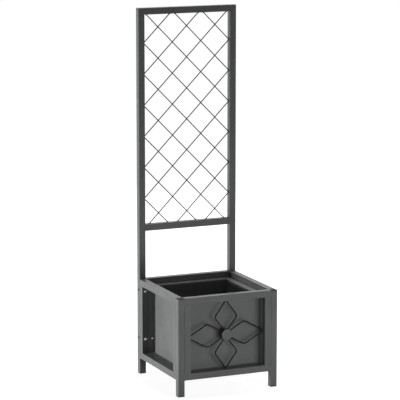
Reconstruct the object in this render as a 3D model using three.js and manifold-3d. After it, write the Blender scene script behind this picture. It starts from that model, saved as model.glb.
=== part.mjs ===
// A planter with a trellis, in millimetres, +Z up.
//
// A square planting box stands on four legs of square tube. Each side of the box is a frame of
// two rails and two stiles with a folded sheet panel set back behind it. The rear legs carry on
// upwards as posts and hold a trellis of crossed wires. X runs left to right, Y front to back,
// and the origin is the centre of the footprint on the ground.
import * as THREE from 'three';
import { mergeVertices } from 'three/addons/utils/BufferGeometryUtils.js';
import Module from 'manifold-3d';

const wasm = await Module();
wasm.setup();

// ---------------------------------------------------------------- driving dimensions

// Overall sizes over the tubes.
const width = 400;
const depth = 400;
const height = 1400;

// Heights above the ground.
const boxTop = 370;
const boxUnderside = 61;
const trellisUnderside = 555;

// Square tube of the legs, posts, rails and stiles.
const tube = 25;
const tubeWall = 1.5;
const tubeCorner = 1.6;

// Clearance between pieces that meet, and round a bolt in its hole, and how far a cut runs past
// the face that it opens.
const fit = 0.3;
const holeFit = 0.4;
const overcut = 1;

// Folded sheet panels: how far the flat lies behind the tubes, and the lip round its walls.
const panelSetback = 25;
const panelSheet = 1.2;
const panelLip = 15;

// Floor of the box, its drain holes and the two bearers under it.
const floorSheet = 1.5;
const drainDiameter = 12;
const drainSpacing = 90;
const bearerWidth = 20;
const bearerSpacing = 160;

// Trellis wires: diamonds across the opening, their height, the first row of crossings below
// the top rail, and how far two wires sink into each other where they are welded.
const wireDiameter = 4;
const weldSink = 0.6;
const diamondsAcross = 3;
const diamondHeight = 118;
const firstCrossingDrop = 47.5;

// Rosette in the front opening: four petals of bent rod round a boss. A bend is given by how far
// from its corner the rod starts to turn, and a petal's corner by how far it is from the centre.
const rodDiameter = 5;
const cornerBend = 12;
const uprightPetalHalfWidth = 46;
const uprightPetalCorner = 67;
const uprightPetalTipBend = 7;
const uprightPetalRootHalfGap = 9;
const sidePetalHalfWidth = 45;
const sidePetalCorner = 74.5;
const sidePetalTipBend = 18;
const sidePetalRootHalfGap = 13;
const bossDiameter = 42;
const bossDepth = 14;
const bossEdge = 2;

// Bolts that join the frames to the legs, the nuts welded inside the tubes, and the bolts'
// distances from the box's top and underside.
const boltDiameter = 6;
const boltHeadDiameter = 10.5;
const boltHeadHeight = 3.3;
const boltNutAcrossFlats = 10;
const boltNutHeight = 5;
const boltDrop = 43;
const boltRise = 80;

// Screws that join the side panels to the corner brackets, at the bolts' heights, and their
// distance from the flat of the panel.
const screwDiameter = 4;
const screwHeadDiameter = 7.6;
const screwHeadHeight = 2.2;
const screwNutAcrossFlats = 7;
const screwNutHeight = 3.2;
const screwInset = 9;

// How much thread shows beyond a nut.
const threadShow = 1;

// Corner brackets behind the panels.
const bracketSheet = 1.5;
const bracketFlange = 22;

// Plastic plugs in the legs: the part that shows and the stem inside the tube.
const footThickness = 3;
const capThickness = 2;
const plugStem = 15;

// ---------------------------------------------------------------- sizes worked out from them

const openingLow = boxUnderside + tube;
const openingHigh = boxTop - tube;
const openingMiddle = (openingLow + openingHigh) / 2;
const boltHeights = [boxUnderside + boltRise, boxTop - boltDrop];
const boltLength = tube + fit + tubeWall + boltNutHeight + threadShow;
const sidePanelInside = width / 2 - tube - panelSetback - panelSheet;
const floorTop = openingLow - panelSheet - fit;
const floorUnderside = floorTop - floorSheet;

// ---------------------------------------------------------------- materials

const finish = (color, roughness, metalness) =>
  new THREE.MeshStandardMaterial({ color, roughness, metalness });
const powderCoat = finish(0x5a5c5b, 0.55, 0.2);
const sheetCoat = finish(0x5c5e5d, 0.6, 0.2);
const wireCoat = finish(0x404241, 0.5, 0.3);
const blackCoat = finish(0x1a1b1b, 0.5, 0.2);
const blackPlastic = finish(0x161717, 0.6, 0.0);
const steel = finish(0xa6a8a8, 0.35, 0.9);

// ---------------------------------------------------------------- solids

/** A closed geometry as a solid that can be cut and joined. */
function toSolid(geometry) {
  const bare = geometry.clone();
  bare.deleteAttribute('normal');
  bare.deleteAttribute('uv');
  const merged = mergeVertices(bare, 1e-4);
  return new wasm.Manifold(new wasm.Mesh({
    numProp: 3,
    vertProperties: new Float32Array(merged.attributes.position.array),
    triVerts: new Uint32Array(merged.index.array),
  }));
}

/** A solid as a geometry again. */
function toGeometry(solid) {
  const mesh = solid.getMesh();
  const geometry = new THREE.BufferGeometry();
  geometry.setAttribute('position', new THREE.BufferAttribute(mesh.vertProperties, 3));
  geometry.setIndex(new THREE.BufferAttribute(mesh.triVerts, 1));
  geometry.computeVertexNormals();
  return geometry;
}

/** A block between two corners. */
function block(low, high) {
  const size = new THREE.Vector3().subVectors(high, low);
  const box = new THREE.BoxGeometry(size.x, size.y, size.z);
  box.translate(low.x + size.x / 2, low.y + size.y / 2, low.z + size.z / 2);
  return toSolid(box);
}

const point = (x, y, z) => new THREE.Vector3(x, y, z);
const upward = point(0, 0, 1);

/** A round bar from one point to another. */
function roundBar(from, to, diameter, sides = 12) {
  const along = new THREE.Vector3().subVectors(to, from);
  const bar = new THREE.CylinderGeometry(diameter / 2, diameter / 2, along.length(), sides);
  bar.rotateX(Math.PI / 2);
  bar.applyQuaternion(new THREE.Quaternion().setFromUnitVectors(upward, along.clone().normalize()));
  const middle = new THREE.Vector3().addVectors(from, to).multiplyScalar(0.5);
  bar.translate(middle.x, middle.y, middle.z);
  return toSolid(bar);
}

/** All the solids of a list as one. */
const joined = (solids) => solids.reduce((whole, next) => whole.add(next));

/** A solid with every solid of a list cut out of it. */
const without = (whole, cuts) => cuts.reduce((rest, cut) => rest.subtract(cut), whole);

/** A named mesh, placed and turned. */
function piece(name, geometry, material, place = point(0, 0, 0), turn = [0, 0, 0]) {
  const mesh = new THREE.Mesh(geometry, material);
  mesh.name = name;
  mesh.position.copy(place);
  mesh.rotation.set(...turn);
  return mesh;
}

// ---------------------------------------------------------------- square tube

/** A square outline with rounded corners. */
function roundedSquare(side, corner) {
  const edge = side / 2;
  const flat = edge - corner;
  const outline = new THREE.Shape();
  outline.moveTo(-flat, -edge);
  outline.lineTo(flat, -edge);
  outline.absarc(flat, -flat, corner, -Math.PI / 2, 0);
  outline.lineTo(edge, flat);
  outline.absarc(flat, flat, corner, 0, Math.PI / 2);
  outline.lineTo(-flat, edge);
  outline.absarc(-flat, flat, corner, Math.PI / 2, Math.PI);
  outline.lineTo(-edge, -flat);
  outline.absarc(-flat, -flat, corner, Math.PI, Math.PI * 1.5);
  return outline;
}

/** A square tube that stands on z = 0 with its axis on z. */
function squareTube(length, side = tube) {
  const outline = roundedSquare(side, tubeCorner);
  const bore = side / 2 - tubeWall;
  const hole = new THREE.Path();
  hole.moveTo(-bore, -bore);
  hole.lineTo(-bore, bore);
  hole.lineTo(bore, bore);
  hole.lineTo(bore, -bore);
  hole.closePath();
  outline.holes.push(hole);
  return new THREE.ExtrudeGeometry(outline, { depth: length, bevelEnabled: false, curveSegments: 2 });
}

/** A drill that leaves a tube's axis at a height and goes out through the wall on one side. */
function wallDrill(z, sideX, sideY) {
  return roundBar(point(0, 0, z), point(sideX * tube, sideY * tube, z), boltDiameter + 2 * holeFit);
}

/** Cuts a tube's upper end at 45 degrees, longest on its -X side (sideX = -1) or +X side. */
function mitreTop(geometry, length, sideX) {
  const places = geometry.attributes.position;
  for (let i = 0; i < places.count; i += 1) {
    if (places.getZ(i) > length / 2) {
      places.setZ(i, length - tube / 2 + sideX * places.getX(i));
    }
  }
  return geometry;
}

/** Cuts a tube's lower end at 45 degrees, longest on its -X side (sideX = -1) or +X side. */
function mitreBottom(geometry, length, sideX) {
  const places = geometry.attributes.position;
  for (let i = 0; i < places.count; i += 1) {
    if (places.getZ(i) < length / 2) {
      places.setZ(i, tube / 2 - sideX * places.getX(i));
    }
  }
  return geometry;
}

// ---------------------------------------------------------------- bolts, screws and nuts

/**
 * A button-head bolt or screw on the z axis: its domed head rises from z = 0 and its shank goes
 * down. The head has a round socket, half as wide as the shank and half as deep as the head.
 */
function buttonBolt(diameter, headDiameter, headHeight, length) {
  const shank = diameter / 2;
  const socket = shank / 2;
  const socketFloor = headHeight / 2;
  const domeSteps = 3;
  const dome = Array.from({ length: domeSteps + 1 }, (_, i) => {
    const angle = (i / domeSteps) * (Math.PI / 2);
    const radius = socket + (headDiameter / 2 - socket) * Math.cos(angle);
    return new THREE.Vector2(radius, headHeight * Math.sin(angle));
  });
  const profile = [
    new THREE.Vector2(0, -length),
    new THREE.Vector2(shank, -length),
    new THREE.Vector2(shank, 0),
    ...dome,
    new THREE.Vector2(socket, socketFloor),
    new THREE.Vector2(0, socketFloor),
  ];
  return new THREE.LatheGeometry(profile, 12).rotateX(Math.PI / 2);
}

/** A hexagon nut on the line from one face to the other. */
function hexNut(from, to, acrossFlats) {
  return roundBar(from, to, acrossFlats / Math.cos(Math.PI / 6), 6);
}

/** A nut welded to the inside of a leg's or stile's wall, at a height and on one side. */
function weldNut(z, sideX, sideY) {
  const wall = tube / 2 - tubeWall / 2;
  const inner = tube / 2 - tubeWall - boltNutHeight;
  const from = point(sideX * inner, sideY * inner, z);
  return hexNut(from, point(sideX * wall, sideY * wall, z), boltNutAcrossFlats);
}

// ---------------------------------------------------------------- legs and posts

/** A front leg: a tube between its foot and its cap, with nuts for the side frame's bolts. */
function frontLeg(name, sideX) {
  const length = boxTop - footThickness - capThickness;
  const heights = boltHeights.map((z) => z - footThickness);
  const nuts = heights.map((z) => weldNut(z, 0, 1));
  const drills = heights.map((z) => wallDrill(z, 0, 1));
  const leg = without(joined([toSolid(squareTube(length)), ...nuts]), drills);
  const place = point(sideX * (width - tube) / 2, -(depth - tube) / 2, footThickness);
  return piece(name, toGeometry(leg), powderCoat, place);
}

/**
 * A rear post: one tube from its foot to the top of the trellis, mitred for the top rail, with
 * nuts for the side frame's bolts and holes right through for the rear frame's bolts.
 */
function rearPost(name, sideX) {
  const length = height - footThickness;
  const heights = boltHeights.map((z) => z - footThickness);
  const nuts = heights.map((z) => weldNut(z, 0, -1));
  const drills = heights.flatMap((z) => [wallDrill(z, 0, -1), wallDrill(z, 1, 0), wallDrill(z, -1, 0)]);
  const tubeSolid = toSolid(mitreTop(squareTube(length), length, sideX));
  const post = without(joined([tubeSolid, ...nuts]), drills);
  const place = point(sideX * (width - tube) / 2, (depth - tube) / 2, footThickness);
  return piece(name, toGeometry(post), powderCoat, place);
}

/** A plastic plug: a plate that covers the tube's end and a stem that goes up into the tube. */
function plug(name, thickness, place, turn) {
  const plate = new THREE.ExtrudeGeometry(
    roundedSquare(tube, tubeCorner),
    { depth: thickness, bevelEnabled: false, curveSegments: 2 },
  );
  const half = tube / 2 - tubeWall - fit;
  const stem = block(point(-half, -half, thickness / 2), point(half, half, thickness + plugStem));
  return piece(name, toGeometry(toSolid(plate).add(stem)), blackPlastic, place, turn);
}

const legs = new THREE.Group();
for (const [side, sideX] of [['left', -1], ['right', 1]]) {
  const x = sideX * (width - tube) / 2;
  const frontY = -(depth - tube) / 2;
  legs.add(
    frontLeg(`front_${side}_leg`, sideX),
    rearPost(`rear_${side}_post`, sideX),
    plug(`front_${side}_foot`, footThickness - fit / 2, point(x, frontY, 0), [0, 0, 0]),
    plug(`rear_${side}_foot`, footThickness - fit / 2, point(x, -frontY, 0), [0, 0, 0]),
    plug(`front_${side}_cap`, capThickness - fit / 2, point(x, frontY, boxTop), [Math.PI, 0, 0]),
  );
}

// ---------------------------------------------------------------- box sides

// Each side is built as seen from outside, looking along +Y: it lies at y = -reach, and its
// span is the clear distance between the legs. The group then turns it to its place.
const sides = [
  { name: 'front', turn: 0, reach: depth / 2, span: width - 2 * tube, ends: ['left', 'right'] },
  { name: 'right', turn: Math.PI / 2, reach: width / 2, span: depth - 2 * tube, ends: ['front', 'rear'] },
  { name: 'rear', turn: Math.PI, reach: depth / 2, span: width - 2 * tube, ends: ['right', 'left'] },
  { name: 'left', turn: -Math.PI / 2, reach: width / 2, span: depth - 2 * tube, ends: ['rear', 'front'] },
];
const flanks = sides.filter(({ name }) => name === 'left' || name === 'right');

/** Half the width of a side's opening, between its stiles. */
const openingHalf = (side) => side.span / 2 - fit - tube;

/** A rail from leg to leg, with its underside at a height. */
function rail(name, side, underside) {
  const length = side.span - 2 * fit;
  const place = point(-length / 2, -side.reach + tube / 2, underside + tube / 2);
  return piece(name, squareTube(length), powderCoat, place, [0, Math.PI / 2, 0]);
}

/**
 * A stile between the rails, at the -X end (end = -1) or the +X end of its side. The stiles of
 * the left and right frames are drilled through for bolts, and those of the rear frame hold nuts.
 */
function stile(name, side, end) {
  const heights = boltHeights.map((z) => z - openingLow);
  const nuts = side.name === 'rear' ? heights.map((z) => weldNut(z, end, 0)) : [];
  const drilled = { front: [], rear: [end], left: [-1, 1], right: [-1, 1] }[side.name];
  const drills = drilled.flatMap((sideX) => heights.map((z) => wallDrill(z, sideX, 0)));
  const body = without(joined([toSolid(squareTube(openingHigh - openingLow)), ...nuts]), drills);
  const place = point(end * (openingHalf(side) + tube / 2), -side.reach + tube / 2, openingLow);
  return piece(name, toGeometry(body), powderCoat, place);
}

/**
 * A panel: a sheet folded to a shallow tray whose flat lies behind the frame. Its end walls and
 * top wall end in a lip on the back of the tubes, and its bottom wall lies on the floor. The
 * front and rear panels fit between the two side panels.
 */
function panel(name, side) {
  const isFlank = flanks.includes(side);
  const inside = isFlank ? openingHalf(side) : sidePanelInside - fit - panelSheet;
  const outside = inside + panelSheet;
  const back = -side.reach + tube;
  const flat = back + panelSetback;
  const lowest = openingLow - panelSheet;
  const highest = openingHigh + panelSheet;
  const tray = block(point(-outside, back, lowest), point(outside, flat + panelSheet, highest));
  const lip = block(
    point(-outside - panelLip, back, lowest),
    point(outside + panelLip, back + panelSheet, highest + panelLip),
  );
  const hollow = block(point(-inside, back - overcut, openingLow), point(inside, flat, openingHigh));
  const screwEnds = isFlank ? [-1, 1] : [];
  const drills = screwEnds.flatMap((end) => boltHeights.map((z) => roundBar(
    point(end * (inside - overcut), flat - screwInset, z),
    point(end * (outside + overcut), flat - screwInset, z),
    screwDiameter + 2 * holeFit,
  )));
  return piece(name, toGeometry(without(tray.add(lip), [hollow, ...drills])), sheetCoat);
}

function boxSide(side) {
  const group = new THREE.Group();
  group.rotation.z = side.turn;
  group.add(
    rail(`${side.name}_top_rail`, side, openingHigh),
    rail(`${side.name}_bottom_rail`, side, boxUnderside),
    stile(`${side.name}_${side.ends[0]}_stile`, side, -1),
    stile(`${side.name}_${side.ends[1]}_stile`, side, 1),
    panel(`${side.name}_panel`, side),
  );
  return group;
}

const box = new THREE.Group();
box.add(...sides.map(boxSide));

// ---------------------------------------------------------------- corner brackets

/**
 * A screw in its place in the rear bracket of a side: from the panel's end wall through the
 * bracket's flange, with its nut behind the flange. (sideY = -1 gives the front bracket's.)
 */
function panelScrew(x, sideY, z, flange) {
  const wall = openingHalf(flanks[0]);
  const nutFace = flange + bracketSheet;
  const length = nutFace + screwNutHeight + threadShow - wall;
  const screw = buttonBolt(screwDiameter, screwHeadDiameter, screwHeadHeight, length);
  screw.applyQuaternion(new THREE.Quaternion().setFromUnitVectors(upward, point(0, -sideY, 0)));
  screw.translate(x, sideY * wall, z);
  const nut = hexNut(
    point(x, sideY * (flange + bracketSheet / 2), z),
    point(x, sideY * (nutFace + screwNutHeight), z),
    screwNutAcrossFlats,
  );
  return toSolid(screw).add(nut);
}

/**
 * A folded bracket in the corner behind two panels, with a plate on top that keeps the corner
 * shut. Its two screws hold a side panel's end wall and are one body with it.
 */
function cornerBracket(name, sideX, sideY) {
  const innerX = sidePanelInside;
  const innerY = openingHalf(flanks[0]) + panelSheet + fit;
  const outerX = innerX + bracketFlange;
  const outerY = innerY + bracketFlange;
  const low = floorTop + fit;
  const high = openingHigh + panelSheet;
  const cornerBlock = (x, y, fromZ) => block(
    point(Math.min(sideX * innerX, sideX * x), Math.min(sideY * innerY, sideY * y), fromZ),
    point(Math.max(sideX * innerX, sideX * x), Math.max(sideY * innerY, sideY * y), high),
  );
  const screwX = sideX * (width / 2 - tube - panelSetback + screwInset);
  return piece(name, toGeometry(joined([
    cornerBlock(outerX, innerY + bracketSheet, low),
    cornerBlock(innerX + bracketSheet, outerY, low),
    cornerBlock(outerX, outerY, high - bracketSheet),
    ...boltHeights.map((z) => panelScrew(screwX, sideY, z, innerY)),
  ])), sheetCoat);
}

const brackets = new THREE.Group();
for (const [sideX, across] of [[-1, 'left'], [1, 'right']]) {
  for (const [sideY, along] of [[-1, 'front'], [1, 'rear']]) {
    brackets.add(cornerBracket(`${along}_${across}_bracket`, sideX, sideY));
  }
}

// ---------------------------------------------------------------- floor

/** The floor: a loose sheet with drain holes that lies on the bearers. */
function floorPlate() {
  const halfX = width / 2 - tube - fit;
  const halfY = depth / 2 - tube - fit;
  const sheet = block(point(-halfX, -halfY, floorUnderside), point(halfX, halfY, floorTop));
  const steps = [-1, 0, 1];
  const drains = steps.flatMap((i) => steps
    .filter((j) => (i + j) % 2 === 0)
    .map((j) => roundBar(
      point(i * drainSpacing, j * drainSpacing, floorUnderside - overcut),
      point(i * drainSpacing, j * drainSpacing, floorTop + overcut),
      drainDiameter,
    )));
  return piece('floor', toGeometry(without(sheet, drains)), sheetCoat);
}

/** A tube under the floor between the front and rear bottom rails. */
function floorBearer(name, sideX) {
  const length = depth - 2 * tube - 2 * fit;
  const place = point(sideX * bearerSpacing / 2, length / 2, floorUnderside - fit - bearerWidth / 2);
  return piece(name, squareTube(length, bearerWidth), powderCoat, place, [Math.PI / 2, 0, 0]);
}

const floorParts = new THREE.Group();
floorParts.add(floorPlate(), floorBearer('left_bearer', -1), floorBearer('right_bearer', 1));

// ---------------------------------------------------------------- bolts in place

const boltShape = buttonBolt(boltDiameter, boltHeadDiameter, boltHeadHeight, boltLength);

/**
 * A frame bolt with the underside of its head at a place. The bolts inside the recesses are
 * bright, and those on the outside of the posts are coated like the posts.
 */
function frameBolt(name, material, place, head) {
  const bolt = piece(name, boltShape, material, place);
  bolt.quaternion.setFromUnitVectors(upward, head);
  return bolt;
}

const bolts = new THREE.Group();
for (const [sideX, across] of [[-1, 'left'], [1, 'right']]) {
  boltHeights.forEach((z, i) => {
    const level = ['lower', 'upper'][i];
    for (const [sideY, along] of [[-1, 'front'], [1, 'rear']]) {
      bolts.add(frameBolt(
        `${across}_frame_${along}_${level}_bolt`,
        steel,
        point(sideX * (width - tube) / 2, sideY * openingHalf(flanks[0]), z),
        point(0, -sideY, 0),
      ));
    }
    bolts.add(frameBolt(
      `rear_frame_${across}_${level}_bolt`,
      powderCoat,
      point(sideX * width / 2, (depth - tube) / 2, z),
      point(sideX, 0, 0),
    ));
  });
}

// ---------------------------------------------------------------- trellis

/** The top rail, mitred between the posts at both ends. */
function trellisTopRail() {
  const length = width - 2 * fit;
  const bar = mitreBottom(mitreTop(squareTube(length), length, -1), length, -1);
  const place = point(-length / 2, (depth - tube) / 2, height - tube / 2);
  return piece('trellis_top_rail', bar, powderCoat, place, [0, Math.PI / 2, 0]);
}

function trellisBottomRail() {
  const length = width - 2 * tube - 2 * fit;
  const place = point(-length / 2, (depth - tube) / 2, trellisUnderside + tube / 2);
  return piece('trellis_bottom_rail', squareTube(length), powderCoat, place, [0, Math.PI / 2, 0]);
}

/**
 * One layer of parallel wires, rising (slope = 1) or falling (slope = -1) to the right, cut to
 * the opening between the posts and the trellis rails.
 */
function wireLayer(slope, y) {
  const halfWidth = width / 2 - tube - fit;
  const low = trellisUnderside + tube + fit;
  const high = height - tube - fit;
  const diamondWidth = (width - 2 * tube) / diamondsAcross;
  const rise = (halfWidth * diamondHeight) / diamondWidth;
  const firstCrossing = height - tube - firstCrossingDrop;
  const highest = firstCrossing + Math.ceil(rise / diamondHeight) * diamondHeight;
  const overrun = 1.2;
  const wires = [];
  for (let middle = highest; middle > low - rise; middle -= diamondHeight) {
    wires.push(roundBar(
      point(-halfWidth * overrun, y, middle - slope * rise * overrun),
      point(halfWidth * overrun, y, middle + slope * rise * overrun),
      wireDiameter,
      8,
    ));
  }
  const opening = block(
    point(-halfWidth, y - wireDiameter, low),
    point(halfWidth, y + wireDiameter, high),
  );
  return joined(wires).intersect(opening);
}

/** The lattice: two layers of wires welded to each other where they cross. */
function lattice() {
  const middle = (depth - tube) / 2;
  const offset = (wireDiameter - weldSink) / 2;
  const layers = [wireLayer(1, middle - offset), wireLayer(-1, middle + offset)];
  return piece('trellis_lattice', toGeometry(joined(layers)), wireCoat);
}

const trellis = new THREE.Group();
trellis.add(trellisTopRail(), trellisBottomRail(), lattice());

// ---------------------------------------------------------------- front rosette

const front = sides[0];
const rosettePlane = -front.reach + tube - rodDiameter / 2 - fit;
const rosette = new THREE.Group();
rosette.position.set(0, rosettePlane, openingMiddle);

/**
 * A rod in the XZ plane through a list of points, with a rounded bend at each inner point:
 * bends gives how far from that point the rod starts to turn.
 */
function bentRod(points, bends) {
  const path = new THREE.CurvePath();
  let start = points[0];
  bends.forEach((bend, i) => {
    const [before, corner, after] = points.slice(i, i + 3);
    const turnIn = corner.clone().addScaledVector(before.clone().sub(corner).normalize(), bend);
    const turnOut = corner.clone().addScaledVector(after.clone().sub(corner).normalize(), bend);
    path.add(new THREE.LineCurve3(start, turnIn));
    path.add(new THREE.QuadraticBezierCurve3(turnIn, corner, turnOut));
    start = turnOut;
  });
  path.add(new THREE.LineCurve3(start, points.at(-1)));
  const section = new THREE.Shape();
  section.absarc(0, 0, rodDiameter / 2, 0, Math.PI * 2);
  return new THREE.ExtrudeGeometry(section, { steps: 44, curveSegments: 3, extrudePath: path });
}

/**
 * A petal: one bent rod that leaves the boss, turns at a corner, touches the edge of the opening
 * with its tip and comes back the same way. It is drawn pointing up and turned about the
 * rosette's axis. Reach is the distance from the centre to the edge of the opening.
 */
function petal(name, turn, reach, shape) {
  const { halfWidth, corner, tipBend, rootHalfGap } = shape;
  const rootHeight = Math.sqrt((bossDiameter / 2) ** 2 - rootHalfGap ** 2);
  const tipSlope = Math.atan2(reach - corner, halfWidth);
  const tipHeight = reach - fit - rodDiameter / 2 + (tipBend * Math.sin(tipSlope)) / 2;
  const rod = bentRod([
    point(-rootHalfGap, 0, rootHeight),
    point(-halfWidth, 0, corner),
    point(0, 0, tipHeight),
    point(halfWidth, 0, corner),
    point(rootHalfGap, 0, rootHeight),
  ], [cornerBend, tipBend, cornerBend]);
  const hub = roundBar(point(0, -bossDepth, 0), point(0, bossDepth, 0), bossDiameter + 2 * fit, 48);
  return piece(name, toGeometry(toSolid(rod).subtract(hub)), blackCoat, point(0, 0, 0), [0, turn, 0]);
}

/** The boss: a shallow round cap with a rounded rim, its back level with the rods' back. */
function boss() {
  const radius = bossDiameter / 2;
  const back = -rodDiameter / 2;
  const face = back + bossDepth;
  const rimSteps = 3;
  const rim = Array.from({ length: rimSteps + 1 }, (_, i) => {
    const angle = (i / rimSteps) * (Math.PI / 2);
    const inset = bossEdge * (1 - Math.cos(angle));
    return new THREE.Vector2(radius - inset, face - bossEdge * (1 - Math.sin(angle)));
  });
  const profile = [
    new THREE.Vector2(0, back),
    new THREE.Vector2(radius, back),
    ...rim,
    new THREE.Vector2(0, face),
  ];
  const cap = new THREE.LatheGeometry(profile, 48);
  return piece('rosette_boss', cap, powderCoat, point(0, 0, 0), [Math.PI, 0, 0]);
}

const uprightReach = openingHigh - openingMiddle;
const sideReach = openingHalf(front);
const uprightPetal = {
  halfWidth: uprightPetalHalfWidth,
  corner: uprightPetalCorner,
  tipBend: uprightPetalTipBend,
  rootHalfGap: uprightPetalRootHalfGap,
};
const sidePetal = {
  halfWidth: sidePetalHalfWidth,
  corner: sidePetalCorner,
  tipBend: sidePetalTipBend,
  rootHalfGap: sidePetalRootHalfGap,
};
rosette.add(
  petal('top_petal', 0, uprightReach, uprightPetal),
  petal('right_petal', Math.PI / 2, sideReach, sidePetal),
  petal('bottom_petal', Math.PI, uprightReach, uprightPetal),
  petal('left_petal', -Math.PI / 2, sideReach, sidePetal),
  boss(),
);

// ---------------------------------------------------------------- the whole planter

const planter = new THREE.Group();
planter.add(legs, box, brackets, floorParts, bolts, trellis, rosette);

export default planter;
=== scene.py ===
# %% [markdown]
# # A planter with a trellis
#
# The real object is a square planting box on four legs of square steel tube. The rear legs carry
# on upwards as posts and hold a trellis of crossed wires. Everything is powder coated in a dark
# iron grey, apart from black bent rods on the front, zinc-plated bolts and black plastic plugs.
#
# The measured model is loaded first and stays where it is. Each new piece takes its place and
# size from the node that it dresses, so nothing has to be fitted by eye.

# %% Load the frame
import math

import bpy
import numpy as np
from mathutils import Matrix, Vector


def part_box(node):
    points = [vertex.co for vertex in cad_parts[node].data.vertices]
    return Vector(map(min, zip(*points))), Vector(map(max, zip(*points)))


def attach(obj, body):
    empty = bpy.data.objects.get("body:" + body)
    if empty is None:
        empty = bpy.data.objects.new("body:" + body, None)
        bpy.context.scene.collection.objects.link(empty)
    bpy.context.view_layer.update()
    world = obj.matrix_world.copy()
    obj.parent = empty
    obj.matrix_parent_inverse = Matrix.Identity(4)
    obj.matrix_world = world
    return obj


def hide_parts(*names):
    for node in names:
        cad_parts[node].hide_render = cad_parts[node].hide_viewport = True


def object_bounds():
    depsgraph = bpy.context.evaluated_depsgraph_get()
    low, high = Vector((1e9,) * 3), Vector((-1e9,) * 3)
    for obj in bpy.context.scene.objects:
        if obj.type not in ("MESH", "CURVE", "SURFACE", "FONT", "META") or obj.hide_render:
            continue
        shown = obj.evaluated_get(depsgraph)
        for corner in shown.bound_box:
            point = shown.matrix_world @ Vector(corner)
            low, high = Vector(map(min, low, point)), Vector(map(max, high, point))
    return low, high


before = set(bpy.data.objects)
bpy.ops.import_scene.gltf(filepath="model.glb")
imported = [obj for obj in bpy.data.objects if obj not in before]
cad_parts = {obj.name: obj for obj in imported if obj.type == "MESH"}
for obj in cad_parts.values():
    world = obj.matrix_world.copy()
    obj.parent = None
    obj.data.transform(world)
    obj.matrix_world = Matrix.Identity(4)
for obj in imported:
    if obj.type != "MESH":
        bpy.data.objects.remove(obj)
cad_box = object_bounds()
corners = [round(v, 4) for v in (*cad_box[0], *cad_box[1])]
print("frame:", len(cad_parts), "nodes, box", corners)

# %% [markdown]
# ## Loops and lofts
#
# Tubes, folded sheets, plugs, caps and bolt heads are all the same kind of surface: a closed loop
# that is carried from row to row while its size changes. A row is an array of points, so a whole
# surface is one array of rows, and its faces follow from the row and column numbers. Rounded
# corners come from arcs in the loop. A holding point just past each end of an arc keeps the flat
# faces flat, so that smooth shading doesn't make them look pillowed. All lengths are in metres.

# %% Loops
HOLD = 0.0004  # from an arc's end to its holding point


def rounded_rectangle(half_x, half_y, corner, steps=4):
    """A loop, anticlockwise. Corner k is centre + corner * (cos a, sin a) with a from 90 k to
    90 (k + 1) degrees, and one holding point before and after each arc."""
    turn = (np.arange(4)[:, None] + np.linspace(0, 1, steps + 1)) * math.pi / 2
    side_x = np.array([1, -1, -1, 1])[:, None]
    side_y = np.array([1, 1, -1, -1])[:, None]
    x = side_x * (half_x - corner) + corner * np.cos(turn)
    y = side_y * (half_y - corner) + corner * np.sin(turn)
    arc = np.stack([x, y], -1)
    start, end = turn[:, :1], turn[:, -1:]
    before = arc[:, :1] + HOLD * np.stack([np.sin(start), -np.cos(start)], -1)
    after = arc[:, -1:] + HOLD * np.stack([-np.sin(end), np.cos(end)], -1)
    return np.concatenate([before, arc, after], 1).reshape(-1, 2)


def circle(radius, count=32):
    """A loop: radius * (cos a, sin a), anticlockwise."""
    turn = np.arange(count) / count * 2 * math.pi
    return radius * np.stack([np.cos(turn), np.sin(turn)], -1)


def polygon(across_flats, sides, count):
    """A loop along a regular polygon: its radius at angle a is half the flat distance divided by
    the cosine of the angle from the nearest flat's middle."""
    turn = np.arange(count) / count * 2 * math.pi
    step = 2 * math.pi / sides
    off = (turn + step / 2) % step - step / 2
    radius = across_flats / 2 / np.cos(off)
    return radius[:, None] * np.stack([np.cos(turn), np.sin(turn)], -1)


def row(loop, height):
    """A loop lifted to a height, which may differ from point to point."""
    return np.column_stack([loop, np.broadcast_to(height, len(loop))])


print("a tube's loop has", len(rounded_rectangle(1, 1, 0.1)), "points")

# %% Lofts


def loft(rows, hollow=False):
    """A shell through rows of equal length: point j of row i is joined to point j + 1 and to the
    same points of row i + 1. A hollow shell also joins the last row to the first, and any other
    shell gets a cap at both ends. Rows that rise along +Z give faces that point outwards."""
    rows = np.asarray(rows, float)
    count, width = rows.shape[:2]
    i = np.arange(count if hollow else count - 1)[:, None]
    j = np.arange(width)[None, :]
    up, right = (i + 1) % count, (j + 1) % width
    quads = np.stack([i * width + j, i * width + right, up * width + right, up * width + j], -1)
    ends = [] if hollow else [np.arange(width)[::-1], np.arange(width) + (count - 1) * width]
    return rows.reshape(-1, 3), quads.reshape(-1, 4), ends


def moved(shell, change):
    """A shell with its points changed by a function."""
    points, quads, ends = shell
    return change(points), quads, ends


def together(shells):
    """Several shells as one, with their point numbers counted on."""
    start = np.cumsum([0] + [len(points) for points, _, _ in shells])
    points = np.concatenate([points for points, _, _ in shells])
    quads = np.concatenate([quads + s for (_, quads, _), s in zip(shells, start)])
    ends = [cap + s for (_, _, caps), s in zip(shells, start) for cap in caps]
    return points, quads, ends


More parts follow.
